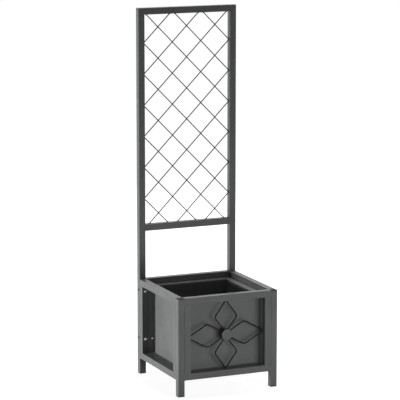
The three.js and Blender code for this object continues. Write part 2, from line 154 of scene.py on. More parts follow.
def piece(name, shell, finish, replaced=(), crease=40):
    """Puts a shell into a new object with smooth faces, creased above an angle in degrees, hangs it
    on the root body and hides the nodes that it replaces."""
    points, quads, ends = shell
    corners = np.concatenate([quads.ravel(), *ends]).astype(np.int32)
    sizes = np.array([4] * len(quads) + [len(cap) for cap in ends])
    mesh = bpy.data.meshes.new(name)
    mesh.vertices.add(len(points))
    mesh.vertices.foreach_set("co", points.astype(np.float32).ravel())
    mesh.loops.add(len(corners))
    mesh.loops.foreach_set("vertex_index", corners)
    mesh.polygons.add(len(sizes))
    mesh.polygons.foreach_set("loop_start", (np.cumsum(sizes) - sizes).astype(np.int32))
    mesh.update(calc_edges=True)
    mesh.shade_smooth()
    mesh.set_sharp_from_angle(angle=math.radians(crease))
    mesh.materials.append(finish)
    made = bpy.data.objects.new(name, mesh)
    bpy.context.scene.collection.objects.link(made)
    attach(made, "root")
    if replaced:
        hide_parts(*replaced)
    return made


def corners_of(node):
    """A node's lowest and highest corner as arrays."""
    low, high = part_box(node)
    return np.array(low), np.array(high)


print("lofts are ready")

# %% [markdown]
# ## Finishes
#
# A powder coat isn't one flat colour. Close up it has a fine grain and a wider orange-peel wave,
# it is a little thinner and smoother along edges, and its tone drifts slightly over a sheet. The
# node trees below make these from noise on Object coordinates, in metres, so the grain has its
# real size on every piece. Lighter edges come from the Bevel node: where the rounded normal leaves
# the true one, the surface is close to an edge. They stand for the thinner coat there and are also
# a painted highlight along the edges. The coat's baked skin shines where it is seen from low. The
# sheets have hardly any of it, or the walls beside them would be mirrored in them.

# %% Node helpers


def new_finish(name):
    """A material with an empty Principled shader, and its node tree."""
    finish = bpy.data.materials.new(name)
    finish.use_nodes = True
    shader = finish.node_tree.nodes["Principled BSDF"]
    return finish, finish.node_tree, shader


def add(tree, kind, values=None, **settings):
    """A node with settings, and with values for its input sockets by name."""
    node = tree.nodes.new(kind)
    for key, value in settings.items():
        setattr(node, key, value)
    for key, value in (values or {}).items():
        node.inputs[key].default_value = value
    return node


def noise(tree, scale, detail=2.0, stretch=None):
    """A noise factor on Object coordinates, with its scale in waves to the metre."""
    place = add(tree, "ShaderNodeTexCoord").outputs["Object"]
    if stretch:
        mapping = add(tree, "ShaderNodeMapping", {"Scale": stretch})
        tree.links.new(place, mapping.inputs["Vector"])
        place = mapping.outputs["Vector"]
    waves = add(tree, "ShaderNodeTexNoise", {"Scale": scale, "Detail": detail})
    tree.links.new(place, waves.inputs["Vector"])
    return waves.outputs["Fac"]


def ranged(tree, factor, low, high, start=0.3, end=0.7):
    """A factor stretched from start..end to low..high."""
    node = add(tree, "ShaderNodeMapRange", {
        "From Min": start, "From Max": end, "To Min": low, "To Max": high})
    tree.links.new(factor, node.inputs["Value"])
    return node.outputs["Result"]


def tinted(tree, factor, first, second):
    """A colour between two others, by a factor. Each is a colour or another colour's socket."""
    mix = add(tree, "ShaderNodeMix", data_type="RGBA")
    sockets = [s for s in mix.inputs if s.type == "RGBA"]
    for socket, colour in zip(sockets, (first, second)):
        if isinstance(colour, bpy.types.NodeSocket):
            tree.links.new(colour, socket)
        else:
            socket.default_value = (*colour, 1)
    tree.links.new(factor, mix.inputs[0])
    return next(s for s in mix.outputs if s.type == "RGBA")


def bumped(tree, factor, depth, strength, under=None):
    """A bump of a depth in metres, on top of another one if there is one."""
    bump = add(tree, "ShaderNodeBump", {"Distance": depth, "Strength": strength})
    tree.links.new(factor, bump.inputs["Height"])
    if under:
        tree.links.new(under, bump.inputs["Normal"])
    return bump.outputs["Normal"]


def edge_wear_and_highlight(tree, radius):
    """A factor that is 0 on flat faces and rises within a radius of an edge: one minus the dot
    product of the true normal and the bevelled one."""
    bevel = add(tree, "ShaderNodeBevel", {"Radius": radius}, samples=4)
    true = add(tree, "ShaderNodeNewGeometry").outputs["Normal"]
    dot = add(tree, "ShaderNodeVectorMath", operation="DOT_PRODUCT")
    tree.links.new(bevel.outputs["Normal"], dot.inputs[0])
    tree.links.new(true, dot.inputs[1])
    return ranged(tree, dot.outputs["Value"], 1, 0, start=0.75, end=1.0)


print("node helpers are ready")

# %% The powder coat
TONE_WAVES, GLOSS_WAVES, PEEL_WAVES, GRAIN_WAVES = 9, 40, 320, 1900  # waves to the metre
TONE_SPREAD = (0.90, 1.09)  # the darkest and lightest tone, as shares of the colour
PALE_SHARE = 1.5  # the tone of specks and edges
SPECK_DEPTH, EDGE_DEPTH = 0.22, 0.45  # how much of the pale tone they take
PEEL_DEPTH = 0.00010
SKIN_ROUGHNESS = 0.24


def powder_coat(name, colour, grain_depth=0.00006, rough=(0.40, 0.52), edge_radius=0.0012,
                skin=0.35):
    """A coat with fine grain (about 0.5 mm), orange peel (about 3 mm), a slow drift of tone and
    slightly lighter edges, for the thinner coat there and as a painted highlight, under a clear
    skin."""
    finish, tree, shader = new_finish(name)
    dark, light = (tuple(c * k for c in colour) for k in TONE_SPREAD)
    pale = tuple(min(1, c * PALE_SHARE) for c in colour)
    drift = ranged(tree, noise(tree, TONE_WAVES, 4), 0, 1)
    speck = ranged(tree, noise(tree, GRAIN_WAVES, 1), 0, 1)
    # Edges are lightened toward the pale tone: partly the thinner coat there, partly a painted
    # highlight.
    edge = ranged(tree, edge_wear_and_highlight(tree, edge_radius), 0, EDGE_DEPTH, start=0, end=1)
    tone = tinted(tree, drift, dark, light)
    speckled = tinted(tree, ranged(tree, speck, 0, SPECK_DEPTH, start=0.55, end=1.0), tone, pale)
    tree.links.new(tinted(tree, edge, speckled, pale), shader.inputs["Base Color"])
    shader.inputs["Specular IOR Level"].default_value = 0.05
    shader.inputs["Coat Weight"].default_value = skin
    shader.inputs["Coat Roughness"].default_value = SKIN_ROUGHNESS
    tree.links.new(ranged(tree, noise(tree, GLOSS_WAVES, 3), *rough), shader.inputs["Roughness"])
    peel = bumped(tree, noise(tree, PEEL_WAVES, 2), PEEL_DEPTH, 0.35)
    grain = bumped(tree, noise(tree, GRAIN_WAVES, 2), grain_depth, 0.55, peel)
    tree.links.new(grain, shader.inputs["Normal"])
    return finish


TUBE_GREY = (0.141, 0.146, 0.144)
# The sheets' grey is lighter than the tubes' as painted light: it makes up for the light that the
# recessed panels lose, on a coat that is really one grey with the tubes.
SHEET_GREY_AND_PAINTED_LIGHT = (0.180, 0.186, 0.183)
WIRE_GREY = (0.040, 0.041, 0.041)
ROD_BLACK = (0.012, 0.012, 0.013)

tube_coat = powder_coat("tube_powder_coat", TUBE_GREY)
sheet_coat = powder_coat("sheet_powder_coat", SHEET_GREY_AND_PAINTED_LIGHT, rough=(0.42, 0.54), skin=0.08)
wire_coat = powder_coat("wire_powder_coat", WIRE_GREY, 0.00003, (0.36, 0.46), 0.0003)
rod_black_and_painted_shade = powder_coat("black_coat_and_painted_shade", ROD_BLACK, 0.00003, (0.42, 0.52), 0.0003, skin=0.2)
print("coats:", tube_coat.name, sheet_coat.name, wire_coat.name, rod_black_and_painted_shade.name)

# %% [markdown]
# The bolts in the recesses are zinc plated, which is a pale metal with a slight yellow and blue
# drift and fine scratches. The ones on the outside of the posts are coated like the posts. The
# plugs are moulded plastic: nearly black, with a leathery grain.

# %% Zinc and plastic


def zinc_plating(name, first, second, rough):
    """Plated steel: a metal whose tint drifts over about 6 mm and its gloss over 1.5 mm, with
    fine scratches."""
    finish, tree, shader = new_finish(name)
    shader.inputs["Metallic"].default_value = 1.0
    tint = tinted(tree, ranged(tree, noise(tree, 160, 3), 0, 1), first, second)
    tree.links.new(tint, shader.inputs["Base Color"])
    tree.links.new(ranged(tree, noise(tree, 700, 3), *rough), shader.inputs["Roughness"])
    scratch = bumped(tree, noise(tree, 900, 3, stretch=(1, 1, 5)), 0.00003, 0.4)
    tree.links.new(scratch, shader.inputs["Normal"])
    return finish


def moulded_plastic(name, colour):
    """Matt plastic with a leathery grain of about 1 mm."""
    finish, tree, shader = new_finish(name)
    dark, light = (tuple(c * k for c in colour) for k in (0.8, 1.3))
    tone = tinted(tree, ranged(tree, noise(tree, 60, 3), 0, 1), dark, light)
    tree.links.new(tone, shader.inputs["Base Color"])
    shader.inputs["Specular IOR Level"].default_value = 0.2
    tree.links.new(ranged(tree, noise(tree, 90, 2), 0.5, 0.65), shader.inputs["Roughness"])
    tree.links.new(bumped(tree, noise(tree, 900, 2), 0.00008, 0.5), shader.inputs["Normal"])
    return finish


zinc_steel = zinc_plating("zinc_plate", (0.72, 0.71, 0.67), (0.83, 0.84, 0.85), (0.24, 0.42))
black_plastic = moulded_plastic("plug_plastic", (0.014, 0.014, 0.015))
print("also:", zinc_steel.name, black_plastic.name)

# %% [markdown]
# ## Square tubes
#
# Each tube fills the box of the node that it dresses, so its long side gives the direction. A
# rolled tube has rounded corners, and a sawn end keeps a small broken edge. Where a rail meets a
# leg, a ground weld fills the joint: here the tube's end has a neck, a little smaller than the
# tube, that reaches across the 0.3 mm gap and leaves a fine groove.

# %% Tubes
TUBE_WALL = 0.0015
TUBE_CORNER = 0.0011  # radius of the rolled corners
TUBE_EDGE = 0.0003  # the broken edge of a sawn end
WELD_REACH = 0.0003  # a neck's length, which is the CAD's gap between tubes


def tube_rows(half, length, slopes, necks):
    """The rows of a hollow tube: from the bore's lower end over the outside to its upper end, and
    the loft closes the bore. An end's slope is how much its height changes with x, for a mitre.
    An end without a neck has one row less, so that no face has zero height."""
    bore = half - TUBE_WALL
    outer = rounded_rectangle(half, half, TUBE_CORNER)
    broken = rounded_rectangle(half - TUBE_EDGE, half - TUBE_EDGE, TUBE_CORNER - TUBE_EDGE)
    inner = rounded_rectangle(bore, bore, TUBE_WALL / 2)
    (slope_0, slope_1), (neck_0, neck_1) = slopes, necks

    def at(loop, z, slope):
        return row(loop, z + slope * loop[:, 0])

    return [
        at(inner, -neck_0, slope_0),
        at(broken, -neck_0, slope_0),
        *([at(broken, 0, slope_0)] if neck_0 else []),
        at(outer, TUBE_EDGE, slope_0),
        at(outer, TUBE_EDGE + HOLD, slope_0),
        at(outer, length - TUBE_EDGE - HOLD, slope_1),
        at(outer, length - TUBE_EDGE, slope_1),
        *([at(broken, length, slope_1)] if neck_1 else []),
        at(broken, length + neck_1, slope_1),
        at(inner, length + neck_1, slope_1),
    ]


def along_axis(points, axis, start):
    """Turns +Z to a world axis by rolling the coordinates, and moves z = 0 to a start."""
    return np.roll(points, axis + 1, axis=1) + start


def dress_tube(node, slopes=(0, 0), necks=(0, 0)):
    """A tube over a CAD tube's box. With a mitre, the sawn face runs through the box's corner."""
    low, high = corners_of(node)
    axis = int(np.argmax(high - low))
    half = np.delete(high - low, axis).min() / 2
    start = (low + high) / 2
    start[axis] = low[axis] + (half if slopes[0] else 0)
    end = high[axis] - (half if slopes[1] else 0)
    rows = tube_rows(half, end - start[axis], slopes, necks)
    shell = moved(loft(rows, hollow=True), lambda p: along_axis(p, axis, start))
    return piece(f"{node}_tube", shell, tube_coat, [node])


WELDED = (WELD_REACH, WELD_REACH)
sides = ["front", "right", "rear", "left"]
legs = ["front_left_leg", "front_right_leg"]
stiles = [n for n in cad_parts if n.endswith("_stile")]
rails = [f"{side}_{level}_rail" for side in sides for level in ("top", "bottom")]
bearers = ["left_bearer", "right_bearer"]

tubes = [dress_tube(node) for node in legs + stiles]
tubes += [dress_tube(node, necks=WELDED) for node in rails + bearers + ["trellis_bottom_rail"]]
tubes += [dress_tube(f"rear_{side}_post", slopes=(0, slope))
          for side, slope in (("left", -1), ("right", 1))]
print("tubes:", len(tubes))

# %% [markdown]
# The trellis's top rail lies between the posts' mitres, so both of its ends are sloped. On this
# rail the rolled coordinates put local x on world Y, and the mitre needs world Z, so its ends are
# sloped with local y instead.

# %% The mitred top rail


def mitred_rail(node):
    """A tube along X whose ends slope with world Z: longest at the top."""
    low, high = corners_of(node)
    half = (high - low)[2] / 2
    length = (high - low)[0] - 2 * half
    rows = np.array(tube_rows(half, length, (0, 0), (0, 0)))
    lower = np.arange(len(rows)) < len(rows) // 2
    rows[..., 2] += np.where(lower[:, None], -1, 1) * rows[..., 1]
    middle = (low + high) / 2
    start = np.array([low[0] + half, middle[1], middle[2]])
    shell = moved(loft(rows, hollow=True), lambda p: along_axis(p, 0, start))
    return piece(f"{node}_tube", shell, tube_coat, [node])


top_rail = mitred_rail("trellis_top_rail")
print("trellis top rail:", [round(v, 4) for v in top_rail.dimensions])

# %% [markdown]
# ## Folded panels
#
# A panel is one sheet, folded to a shallow tray. The flat of the tray is set back behind the
# frame, its walls come forward to the tubes, and a lip lies on the back of the tubes. As rows of
# rounded rectangles the tray is one closed shell: from the middle of the back, round the outer
# bends, over the rim, down the inner bends and to the middle of the flat.

# %% Panels
SHEET = 0.0012
LIP = 0.015
INNER_BEND = 0.0010  # inside radius between the flat and its walls
LIP_BEND = 0.0022  # outside radius between the walls and the lips
TRAY_CORNER = 0.0008
FLAT_MARGIN = 0.01  # from the bends to the flat's inner ring
SIDE_TURNS = {"front": 0, "right": 90, "rear": 180, "left": -90}


def tray_rows(half_x, half_y, depth, bend_steps=5):
    """A tray's rows. The flat's face is z = 0 and the walls rise to the lips at z = depth. A
    bend's row is drawn in, or flared out, by radius * (1 - cos a) of its angle a. The bottom wall
    has no lip, so the flare leaves that side where it is."""
    outer_bend = INNER_BEND + SHEET
    turns = np.linspace(0, math.pi / 2, bend_steps)

    def ring(flare, height):
        """A loop grown by a flare on three sides, or shrunk by it on all four."""
        lift = max(flare, 0) / 2
        corner = TRAY_CORNER + max(flare, 0)
        loop = rounded_rectangle(half_x + flare, half_y + flare - lift, corner)
        return row(loop + [0, lift], height)

    def outside(a):
        inset = outer_bend * (1 - math.sin(a))
        grown = SHEET - inset
        loop = rounded_rectangle(half_x + grown, half_y + grown, TRAY_CORNER + SHEET)
        return row(loop, -SHEET + outer_bend * (1 - math.cos(a)))

    def inside(a):
        return ring(-INNER_BEND * (1 - math.sin(a)), INNER_BEND * (1 - math.cos(a)))

    def fold(a):
        return ring(LIP_BEND * (1 - math.cos(a)), depth - LIP_BEND * (1 - math.sin(a)))

    rim = rounded_rectangle(half_x + LIP_BEND, half_y + LIP_BEND / 2, TRAY_CORNER + LIP_BEND)
    wall = rounded_rectangle(half_x + SHEET, half_y + SHEET, TRAY_CORNER + SHEET)
    middle = rounded_rectangle(half_x - FLAT_MARGIN, half_y - FLAT_MARGIN, TRAY_CORNER)
    return [
        row(middle, -SHEET),
        *[outside(a) for a in turns],
        row(wall, depth - LIP_BEND),
        row(rim + [0, LIP_BEND / 2], depth - SHEET),
        *[fold(a) for a in turns[::-1]],
        *[inside(a) for a in turns[::-1]],
        row(middle, 0),
    ]


def slab(low_x, high_x, low_y, high_y, low_z, high_z, edge=0.0003):
    """A thin sheet strip with broken edges."""
    centre = np.array([(low_x + high_x) / 2, (low_y + high_y) / 2, 0])
    half_x, half_y = (high_x - low_x) / 2, (high_y - low_y) / 2
    full = rounded_rectangle(half_x, half_y, 3 * edge)
    small = rounded_rectangle(half_x - edge, half_y - edge, 2 * edge)
    rows = [row(small, low_z), row(full, low_z + edge),
            row(full, high_z - edge), row(small, high_z)]
    return moved(loft(rows), lambda p: p + centre)


def turned(points, degrees):
    """Points turned about the world's Z axis."""
    a = math.radians(degrees)
    matrix = np.array([[math.cos(a), math.sin(a), 0], [-math.sin(a), math.cos(a), 0], [0, 0, 1]])
    return points @ matrix


def dress_panel(side):
    """The tray and its three lips, drawn for the front and then turned to their side."""
    low, high = corners_of(f"{side}_panel")
    across = 1 if side in ("left", "right") else 0
    reach = max(abs(low[1 - across]), abs(high[1 - across]))
    depth = (high - low)[1 - across] - SHEET
    half_x = high[across] - LIP - SHEET
    floor, roof = low[2] + SHEET, high[2] - LIP - SHEET
    half_y, middle = (roof - floor) / 2, (roof + floor) / 2
    start, end, top = half_x + LIP_BEND, half_x + SHEET + LIP, half_y + LIP_BEND
    lips = [
        slab(start, end, -half_y, top, depth - SHEET, depth),
        slab(-end, -start, -half_y, top, depth - SHEET, depth),
        slab(-end, end, top, half_y + SHEET + LIP, depth - SHEET, depth),
    ]

    def to_side(p):
        local = np.stack([p[:, 0], depth - reach - p[:, 2], p[:, 1] + middle], -1)
        return turned(local, SIDE_TURNS[side])

    shell = moved(together([loft(tray_rows(half_x, half_y, depth)), *lips]), to_side)
    return piece(f"{side}_tray", shell, sheet_coat, [f"{side}_panel"])


panels = [dress_panel(side) for side in sides]
print("panels:", {p.name: [round(v, 4) for v in p.dimensions] for p in panels})

# %% [markdown]
# ## Corner brackets and floor
#
# Only the brackets' top plates show, from above. Each bracket is a folded angle with a plate, so
# a profile shaped like an L is carried upwards. The floor keeps its CAD shape, which has the drain
# holes, and only gets the sheet's coat.

# %% Brackets and floor
BRACKET_SHEET = 0.0015
SCREW_HEAD = 0.0022  # a screw head's height


def angle_profile(width, sheet, bend=0.002, steps=5):
    """An L from its corner at the origin: outside along x and y, and back along the inside."""
    a = np.linspace(math.pi, 1.5 * math.pi, steps)
    outer = bend + bend * np.stack([np.cos(a), np.sin(a)], -1)
    inner = bend + (bend - sheet) * np.stack([np.cos(a[::-1]), np.sin(a[::-1])], -1)
    ends = [[width, 0], [width, sheet]], [[sheet, width], [0, width]]
    return np.concatenate([outer, ends[0], inner, ends[1]])


def dress_bracket(node):
    """An angle and its top plate. The CAD node's box also holds the screw heads, which stand
    out towards the middle along Y."""
    low, high = corners_of(node)
    toward = np.sign((low + high) / 2)[:2]
    inner = np.where(toward > 0, low[:2], -high[:2]) + [0, SCREW_HEAD + SHEET + WELD_REACH]
    outer = np.where(toward > 0, high[:2], -low[:2])
    width = (outer - inner).min()
    profile = angle_profile(width, BRACKET_SHEET)
    plate = np.array([[0, 0], [width, 0], [width, width], [0, width]])
    under_plate = high[2] - BRACKET_SHEET
    shells = [loft([row(profile, low[2]), row(profile, under_plate)]),
              loft([row(plate, under_plate), row(plate, high[2])])]

    def to_corner(p):
        place = (p[:, :2] + inner) * toward
        return np.column_stack([place, p[:, 2]])

    points, quads, ends = moved(together(shells), to_corner)
    if toward[0] * toward[1] < 0:
        quads, ends = quads[:, ::-1], [cap[::-1] for cap in ends]
    return piece(f"{node}_angle", (points, quads, ends), sheet_coat, [node])


corner_brackets = [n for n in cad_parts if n.endswith("_bracket")]
brackets = [dress_bracket(node) for node in corner_brackets]
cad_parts["floor"].data.materials.clear()
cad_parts["floor"].data.materials.append(sheet_coat)
print("brackets:", len(brackets), "and the floor's finish:", sheet_coat.name)

# %% [markdown]
# ## Plugs
#
# The feet and the front legs' caps are moulded plugs: a plate with rounded edges outside the
# tube, and a stem with a small lead-in inside it.

# %% Feet and caps
PLUG_EDGE = 0.0008  # radius of the face's edge
STEM_GAP = 0.0018  # from the tube's outside to the stem, and the stem's lead-in


def plug_rows(half, plate, stem):
    """Rows of a plug from z = 0, the face that shows, to the stem's end. The face's edge is a
    quarter round: inset = edge * (1 - sin a), height = edge * (1 - cos a)."""

    def square(inset, corner=TUBE_CORNER):
        return rounded_rectangle(half - inset, half - inset, corner)

    turns = np.linspace(0, math.pi / 2, 5)
    core, tip = square(STEM_GAP, TUBE_CORNER / 2), square(2 * STEM_GAP, TUBE_CORNER / 2)
    return [
        *[row(square(PLUG_EDGE * (1 - math.sin(a))), PLUG_EDGE * (1 - math.cos(a))) for a in turns],
        row(square(0), plate),
        row(core, plate),
        row(core, stem - STEM_GAP),
        row(tip, stem),
    ]


def dress_plug(node, plate):
    """A plug in a node's box. A cap is turned over, so that its face looks up."""
    low, high = corners_of(node)
    centre = (low + high) / 2
    rows = plug_rows((high - low)[0] / 2, plate, (high - low)[2])
    over = node.endswith("_cap")
    start = [centre[0], centre[1], high[2] if over else low[2]]
    flip = np.array([1, -1, -1] if over else [1, 1, 1])
    shell = moved(loft(rows), lambda p: p * flip + start)
    return piece(f"{node}_plug", shell, black_plastic, [node])


foot_plate = float(corners_of("front_left_leg")[0][2])
cap_plate = float(corners_of("front_left_cap")[1][2] - corners_of("front_left_leg")[1][2])
plugs = [dress_plug(n, foot_plate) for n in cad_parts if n.endswith("_foot")]
plugs += [dress_plug(n, cap_plate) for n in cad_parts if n.endswith("_cap")]
print("plugs:", len(plugs), "foot plate", round(foot_plate, 4), "cap plate", round(cap_plate, 4))

# %% [markdown]
# ## Bolts and screws
#
# A button-head bolt has a low dome with a hexagon socket. The dome's rows follow a quarter
# ellipse. The socket is part of the same loft, because a hexagon loop can have as many points as
# a circle: each point is moved out or in to the nearest flat.

# %% Button heads
# radii of the shank and the head, the head's height and the socket's width across flats
BOLT = {"shank": 0.003, "head": 0.00525, "height": 0.0033, "socket": 0.004}
SCREW = {"shank": 0.002, "head": 0.0038, "height": SCREW_HEAD, "socket": 0.0025}
ROUND = 36
SHANK_POINT = 0.15  # the bevel at the shank's end, as a share of its radius
SOCKET_RIM = 0.62  # the dome's inner radius, as a share of the socket's width
SOCKET_TOP, SOCKET_FLOOR = 0.93, 0.35  # heights in the socket, as shares of the head's
DOME_START = 0.12  # radians


def button_rows(size, length):
    """Rows from the shank's end to the socket's floor. Dome: radius = socket rim + (head - rim)
    * cos a, height = head height * sin a."""
    shank, head, height = size["shank"], size["head"], size["height"]
    rim = size["socket"] * SOCKET_RIM
    turns = np.linspace(DOME_START, math.pi / 2, 7)
    dome = [row(circle(rim + (head - rim) * math.cos(a), ROUND), height * math.sin(a))
            for a in turns]
    hexagon = polygon(size["socket"], 6, ROUND)
    return [
        row(circle(shank * (1 - SHANK_POINT), ROUND), -length),
        row(circle(shank, ROUND), -length + shank * SHANK_POINT),
        row(circle(shank, ROUND), 0),
        row(circle(head, ROUND), 0),
        *dome,
        row(hexagon, height * SOCKET_TOP),
        row(hexagon, height * SOCKET_FLOOR),
    ]


def fastener(size, length, axis, sign, seat):
    """A fastener whose head stands out from its seat along sign * axis."""
    flip = np.array([1, sign, sign])
    return moved(loft(button_rows(size, length)), lambda p: along_axis(p * flip, axis, seat))


def dress_bolt(node):
    """A bolt in its node's box. The rear frame's bolts have their heads outside, on the posts,
    and the side frames' bolts have them towards the middle."""
    low, high = corners_of(node)
    axis = int(np.argmax(high - low))
    seat = (low + high) / 2
    outward = np.sign(seat[axis])
    sign = outward if node.startswith("rear_frame") else -outward
    face = high[axis] if sign > 0 else low[axis]
    seat[axis] = face - sign * BOLT["height"]
    length = (high - low)[axis] - BOLT["height"]
    coated = node.startswith("rear_frame")
    finish, slot = (tube_coat, "tube_coat") if coated else (zinc_steel, "zinc_steel")
    return piece(f"{node}_dome", fastener(BOLT, length, axis, sign, seat), finish, [node])


bolt_nodes = [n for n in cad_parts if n.endswith("_bolt")]
bolts = [dress_bolt(n) for n in bolt_nodes]
bolt_heights = sorted({round(float(sum(corners_of(n))[2] / 2), 5) for n in bolt_nodes})
print("bolts:", len(bolts), "at heights", bolt_heights)

# %% Panel screws
SCREW_INSET = 0.009  # from the panel's flat
SCREW_LENGTH = 0.0075


def panel_screws(node):
    """The two screws of a corner bracket. Their nuts are shut in behind it and aren't drawn."""
    low, high = corners_of(node)
    sign_x, sign_y = np.sign((low + high) / 2)[:2]
    flat = abs(corners_of("left_panel")[1][0]) + SHEET
    head_face = min(abs(low[1]), abs(high[1]))
    shells = []
    for z in bolt_heights:
        seat = np.array([sign_x * (flat + SCREW_INSET), sign_y * (head_face + SCREW_HEAD), z])
        shells.append(fastener(SCREW, SCREW_LENGTH, 1, -sign_y, seat))
    return piece(f"{node}_screws", together(shells), zinc_steel)


screws = [panel_screws(node) for node in corner_brackets]
print("screws:", 2 * len(screws))

# %% [markdown]
# ## The trellis wires
#
# The lattice is two layers of straight wires. Every wire rises or falls by one diamond height
# per diamond width, so its centre line is z = middle + slope * x, and the opening cuts it where
# z meets the rails or x meets the posts. All the wires of a layer are worked out at once.

# %% Lattice
WIRE_RADIUS = 0.002
DIAMOND_HEIGHT = 0.118
FIRST_CROSSING = 0.0475  # below the top rail
DIAMONDS_ACROSS = 3
WIRE_END_EDGE = 0.3  # as a share of the radius
WELD_SWELL = np.array([1.7, 1.4, 1.7])  # a weld dot's radii, as shares of the wire's
WELD_POLE = 0.15  # radians from a dot's axis to its first row


def wire_ends(slope_sign, half_width, low, high):
    """The two ends of every wire of a layer, in x and z."""
    width = 2 * (half_width + WELD_REACH) / DIAMONDS_ACROSS
    slope = slope_sign * DIAMOND_HEIGHT / width
    top = high + WELD_REACH - FIRST_CROSSING
    count = math.ceil((high - low) / DIAMOND_HEIGHT) + DIAMONDS_ACROSS
    first = top + DIAMOND_HEIGHT * math.ceil(DIAMONDS_ACROSS / 2)
    middles = first - DIAMOND_HEIGHT * np.arange(count + 1)
    at_low = (low - middles) / slope
    at_high = (high - middles) / slope
    x0 = np.maximum(np.minimum(at_low, at_high), -half_width)
    x1 = np.minimum(np.maximum(at_low, at_high), half_width)
    keep = x1 - x0 > 2 * WIRE_RADIUS
    x0, x1, middles = x0[keep], x1[keep], middles[keep]
    return np.stack([x0, middles + slope * x0], -1), np.stack([x1, middles + slope * x1], -1)


def straight_bar(start, end, radius, count=14):
    """A round bar with slightly rounded ends: circles in the plane across its line."""
    line = end - start
    length = np.linalg.norm(line)
    forward = line / length
    side = np.cross([0.0, 1.0, 0.0], forward)
    side /= np.linalg.norm(side)
    across = np.cross(forward, side)
    edge = radius * WIRE_END_EDGE
    rows = [row(circle(radius - edge, count), 0), row(circle(radius, count), edge),
            row(circle(radius, count), length - edge), row(circle(radius - edge, count), length)]
    axes = np.stack([side, across, forward])
    return moved(loft(rows), lambda p: p @ axes + start)


def weld_dot(centre, radii, count=12):
    """A flattened ball: rows at heights r cos a with radius r sin a, stretched to its radii."""
    turns = np.linspace(WELD_POLE, math.pi - WELD_POLE, 7)
    rows = [row(circle(math.sin(a), count), -math.cos(a)) for a in turns]
    return moved(loft(rows), lambda p: p * radii + centre)


low, high = corners_of("trellis_lattice")
layer_gap = (high - low)[1] / 2 - WIRE_RADIUS
middle_y = (low + high)[1] / 2
shells = []
for slope_sign, layer in ((1, -layer_gap), (-1, layer_gap)):
    starts, ends = wire_ends(slope_sign, high[0], low[2], high[2])
    for start, end in zip(starts, ends):
        pair = [np.array([x, middle_y + layer, z]) for x, z in (start, end)]
        shells.append(straight_bar(*pair, WIRE_RADIUS))
        shells += [weld_dot(p, WIRE_RADIUS * WELD_SWELL) for p in pair]
lattice = piece("lattice_wires", together(shells), wire_coat, ["trellis_lattice"])
print("lattice:", len(shells) // 3, "wires,", len(lattice.data.polygons), "faces")

# %% [markdown]
# ## The rosette
#
# Four petals of bent rod stand round a shallow boss, in the opening of the front frame. A petal
# is one rod: from the boss to a corner, to its tip at the frame, and back by the other corner. The
# bends are quadratic curves, and a circle is carried along the path. The path stays in one plane,
# so the circle's axes are simply the plane's normal and the path's own normal.

# %% Petals
ROD_RADIUS = 0.0025
CORNER_BEND = 0.012  # from a corner to its bend's start
ROOT_SINK = 0.95  # where a root ends, as a share of the boss's radius
# half the width, the corner's distance from the hub, the tip's bend and the root's half gap
UPRIGHT = {"half_width": 0.046, "corner": 0.067, "tip_bend": 0.007, "root": 0.009}
SIDEWAYS = {"half_width": 0.045, "corner": 0.0745, "tip_bend": 0.018, "root": 0.013}


def bent_path(points, bends, steps=9):
    """Points along straight runs with a curve at each inner corner: (1-t)^2 a + 2t(1-t) c + t^2 b,
    where a and b lie a bend's distance before and after the corner c."""
    t = np.linspace(0, 1, steps)[:, None]
    path = [points[:1]]
    for before, corner, after, bend in zip(points, points[1:], points[2:], bends):
        a = corner + bend * (before - corner) / np.linalg.norm(before - corner)
        b = corner + bend * (after - corner) / np.linalg.norm(after - corner)
        path.append((1 - t) ** 2 * a + 2 * t * (1 - t) * corner + t ** 2 * b)
    path.append(points[-1:])
    return np.concatenate(path)


def rod(path, radius, count=16):
    """Circles along a path in the XZ plane, as one closed shell."""
    tangent = np.gradient(path, axis=0)
    tangent /= np.linalg.norm(tangent, axis=1)[:, None]
    normal = np.stack([tangent[:, 1], -tangent[:, 0]], -1)
    ring = circle(radius, count)
    x = path[:, None, 0] + ring[None, :, 0] * normal[:, None, 0]
    z = path[:, None, 1] + ring[None, :, 0] * normal[:, None, 1]
    y = np.broadcast_to(ring[None, :, 1], x.shape)
    return loft(np.stack([x, y, z], -1))


boss_low, boss_high = corners_of("rosette_boss")
boss_radius = float(boss_high[0])
hub = np.array([0, boss_high[1] - ROD_RADIUS, (boss_low + boss_high)[2] / 2])


def dress_petal(node, degrees, shape, reach):
    """A petal that points up, turned about the hub's Y axis. Reach is from the hub to the tip."""
    slope = math.atan2(reach - shape["corner"], shape["half_width"])
    tip = reach + shape["tip_bend"] * math.sin(slope) / 2 - ROD_RADIUS
    root = np.array([shape["root"], math.sqrt(boss_radius ** 2 - shape["root"] ** 2)]) * ROOT_SINK
    right = np.array([root, [shape["half_width"], shape["corner"]]])
    corners = np.concatenate([right * [-1, 1], [[0, tip]], right[::-1]])
    a = math.radians(degrees)
    spin = np.array([[math.cos(a), -math.sin(a)], [math.sin(a), math.cos(a)]])
    path = bent_path(corners, (CORNER_BEND, shape["tip_bend"], CORNER_BEND)) @ spin
    shell = moved(rod(path, ROD_RADIUS), lambda p: p + hub)
    return piece(f"{node}_rod", shell, rod_black_and_painted_shade, [node])


def reach_of(node, axis, sign):
    """How far a petal's node reaches from the hub."""
    low, high = corners_of(node)
    return float(high[axis] - hub[axis] if sign > 0 else hub[axis] - low[axis])


petals = [
    dress_petal("top_petal", 0, UPRIGHT, reach_of("top_petal", 2, 1)),
    dress_petal("right_petal", 90, SIDEWAYS, reach_of("right_petal", 0, 1)),
    dress_petal("bottom_petal", 180, UPRIGHT, reach_of("bottom_petal", 2, -1)),
    dress_petal("left_petal", -90, SIDEWAYS, reach_of("left_petal", 0, -1)),
]
print("petals:", {p.name: [round(v, 4) for v in p.dimensions] for p in petals})

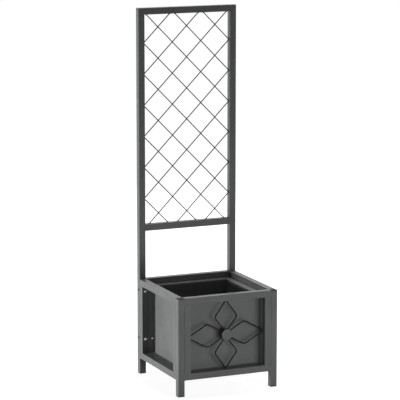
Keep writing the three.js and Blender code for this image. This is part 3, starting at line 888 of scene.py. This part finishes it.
# %% [markdown]
# The boss is a round cap, pressed from sheet, so its rim is rounded. Its rows are circles: up the
# side, round the rim, and in over a face that is very slightly domed. Its face is grey like the
# panel. Its side takes the rods' black as painted shade, where the real side is as grey as the face
# and lies in shadow, so every face behind the rim takes the second finish.

# %% Boss
BOSS_RIM = 0.002  # radius of the rim's edge
BOSS_DOME = 0.0004
FACE_RINGS = (0.85, 0.6, 0.3, 0.02)  # as shares of the face's radius
GREY_RIM = 0.4  # how much of the rim is grey, as a share of its radius


def boss_rows(radius, depth, count=72):
    """Side, then rim: radius - rim * (1 - cos a), height - rim * (1 - sin a), then the face:
    height + dome * (1 - (r / face radius)^2)."""
    turns = np.linspace(0, math.pi / 2, 7)
    shoulder = depth - BOSS_DOME
    rim = [row(circle(radius - BOSS_RIM * (1 - math.cos(a)), count),
               shoulder - BOSS_RIM * (1 - math.sin(a))) for a in turns]
    flat = radius - BOSS_RIM
    face = [row(circle(flat * k, count), shoulder + BOSS_DOME * (1 - k * k))
            for k in FACE_RINGS]
    return [row(circle(radius, count), 0), *rim, *face]


depth = float((boss_high - boss_low)[1])
back = np.array([0, boss_high[1], hub[2]])
to_front = np.array([[1, 0, 0], [0, 0, 1], [0, -1, 0]])
boss_shell = moved(loft(boss_rows(boss_radius, depth)), lambda p: p @ to_front + back)
boss = piece("rosette_cap", boss_shell, tube_coat, ["rosette_boss"])
# The side's black is painted shade: the pressed cap is one grey, and its side lies in shadow.
boss.data.materials.append(rod_black_and_painted_shade)
middles = np.empty(3 * len(boss.data.polygons))
boss.data.polygons.foreach_get("center", middles)
painted_shade_faces = middles.reshape(-1, 3)[:, 1] > boss_low[1] + BOSS_DOME + BOSS_RIM * GREY_RIM
boss.data.polygons.foreach_set("material_index", painted_shade_faces.astype(np.int32))
print("boss:", [round(v, 4) for v in boss.dimensions], "black faces:", int(painted_shade_faces.sum()))

# %% [markdown]
# ## Floor, backdrop and light
#
# The floor and the world are white to the camera and to reflections, and much dimmer to diffuse
# light, so the object stands on white without being lit from everywhere. Five soft boxes light
# it. A strong one stands low at the left and a little to the rear, so that the walls and ledges of
# the recesses stay dark. A wide, weak one stands in front, a faint one lifts the near corner, and
# one from above and one from the rear right leave no side in the dark.

# %% Floor
FLOOR_SIZE = 120.0
FLOOR_GREY = 0.32
FLOOR_GLOW = (0.90, 1.0)  # near the object and away from it
GLOW_REACH = (0.5, 1.6)  # the distances between which it rises


def seen_rays(tree):
    """1 for camera, glossy and transmission rays, and 0 for the others."""
    path = add(tree, "ShaderNodeLightPath")
    total = path.outputs["Is Camera Ray"]
    for name in ("Is Glossy Ray", "Is Transmission Ray"):
        larger = add(tree, "ShaderNodeMath", operation="MAXIMUM")
        tree.links.new(total, larger.inputs[0])
        tree.links.new(path.outputs[name], larger.inputs[1])
        total = larger.outputs[0]
    return total


def studio_floor():
    """A pale floor: diffuse for every ray, plus a glow for rays that see it. The glow rises to
    full white away from the object, so the floor meets the backdrop without an edge."""
    mesh = bpy.data.meshes.new("studio_floor")
    half = FLOOR_SIZE / 2
    mesh.from_pydata([(-half, -half, 0), (half, -half, 0), (half, half, 0), (-half, half, 0)], [],
                     [(0, 1, 2, 3)])
    ground = bpy.data.objects.new("studio_floor", mesh)
    bpy.context.scene.collection.objects.link(ground)
    finish = bpy.data.materials.new("studio_floor")
    finish.use_nodes = True
    tree = finish.node_tree
    tree.nodes.clear()
    place = add(tree, "ShaderNodeTexCoord")
    away = add(tree, "ShaderNodeVectorMath", operation="LENGTH")
    tree.links.new(place.outputs["Object"], away.inputs[0])
    start, end = GLOW_REACH
    level = ranged(tree, away.outputs["Value"], *FLOOR_GLOW, start=start, end=end)
    strength = add(tree, "ShaderNodeMath", operation="MULTIPLY")
    tree.links.new(level, strength.inputs[0])
    tree.links.new(seen_rays(tree), strength.inputs[1])
    glow = add(tree, "ShaderNodeEmission")
    tree.links.new(strength.outputs[0], glow.inputs["Strength"])
    diffuse = add(tree, "ShaderNodeBsdfDiffuse", {"Color": (*[FLOOR_GREY] * 3, 1)})
    total = add(tree, "ShaderNodeAddShader")
    out = add(tree, "ShaderNodeOutputMaterial")
    tree.links.new(diffuse.outputs[0], total.inputs[0])
    tree.links.new(glow.outputs[0], total.inputs[1])
    tree.links.new(total.outputs[0], out.inputs["Surface"])
    mesh.materials.append(finish)
    return ground


floor = studio_floor()
print("floor:", FLOOR_SIZE, "m wide")

# %% World
AMBIENT = 0.03


def studio_world():
    """White where it is seen or reflected, and a low even light elsewhere."""
    world = bpy.data.worlds.new("studio")
    bpy.context.scene.world = world
    world.use_nodes = True
    tree = world.node_tree
    tree.nodes.clear()
    white = add(tree, "ShaderNodeBackground", {"Color": (1, 1, 1, 1), "Strength": 1.0})
    ambient = add(tree, "ShaderNodeBackground", {"Color": (1, 1, 1, 1), "Strength": AMBIENT})
    choose = add(tree, "ShaderNodeMixShader")
    out = add(tree, "ShaderNodeOutputWorld")
    tree.links.new(seen_rays(tree), choose.inputs[0])
    tree.links.new(ambient.outputs[0], choose.inputs[1])
    tree.links.new(white.outputs[0], choose.inputs[2])
    tree.links.new(choose.outputs[0], out.inputs["Surface"])
    return world


studio_world()
print("ambient light:", AMBIENT)

# %% Soft boxes
SOFT_BOXES = {
    # name: (place, what it looks at, width, height, power in watts)
    "left_box": ((-4.0, 0.75, 0.42), (0.0, 0.1, 0.42), 0.9, 0.8, 155),
    "front_box": ((0.30, -1.6, 0.28), (0.0, -0.2, 0.20), 1.0, 0.50, 8.6),
    "corner_box": ((-1.05, -1.5, 1.2), (0.0, -0.2, 0.25), 0.5, 0.5, 0.5),
    "top_box": ((0.5, 0.6, 3.6), (0.0, 0.0, 0.3), 1.0, 1.0, 95),
    "rear_box": ((2.8, 2.8, 0.8), (0.0, 0.0, 0.5), 1.6, 1.8, 110),
}


def soft_box(name, place, target, width, height, power):
    """An area lamp turned to look at a point. It isn't seen itself."""
    data = bpy.data.lights.new(name, "AREA")
    data.shape = "RECTANGLE"
    data.size, data.size_y = width, height
    data.energy = power
    lamp = bpy.data.objects.new(name, data)
    bpy.context.scene.collection.objects.link(lamp)
    away = np.array(place) - np.array(target)
    azimuth = math.atan2(away[0], -away[1])
    fall = math.acos(away[2] / np.linalg.norm(away))
    lamp.location = place
    lamp.rotation_euler = (fall, 0, azimuth)
    lamp.visible_camera = False
    lamp.visible_glossy = False
    return lamp


lamps = [soft_box(name, *values) for name, values in SOFT_BOXES.items()]
print("lamps:", [lamp.name for lamp in lamps])

# %% [markdown]
# ## Camera
#
# The photograph is taken from far away with a long lens, from the front left and a little above.
# The direction is an azimuth and an elevation, and the camera stands at a distance from the point
# that the middle of the picture looks at.

# %% Camera
AZIMUTH = math.radians(-23.627)
ELEVATION = math.radians(10.182)
DISTANCE = 8.14
LOOK_AT = np.array([-0.0141, 0.0279, 0.6870])
LENS, SENSOR = 195.52, 36.0  # millimetres

camera_data = bpy.data.cameras.new("camera")
camera = bpy.data.objects.new("camera", camera_data)
bpy.context.scene.collection.objects.link(camera)
backwards = np.array([
    math.sin(AZIMUTH) * math.cos(ELEVATION),
    -math.cos(AZIMUTH) * math.cos(ELEVATION),
    math.sin(ELEVATION),
])
camera_data.sensor_width = SENSOR
camera_data.lens = LENS
camera.location = LOOK_AT + DISTANCE * backwards
camera.rotation_euler = (math.pi / 2 - ELEVATION, 0, AZIMUTH)
bpy.context.scene.camera = camera
bpy.context.scene.view_settings.view_transform = "Standard"
print("camera at", [round(v, 3) for v in camera.location])
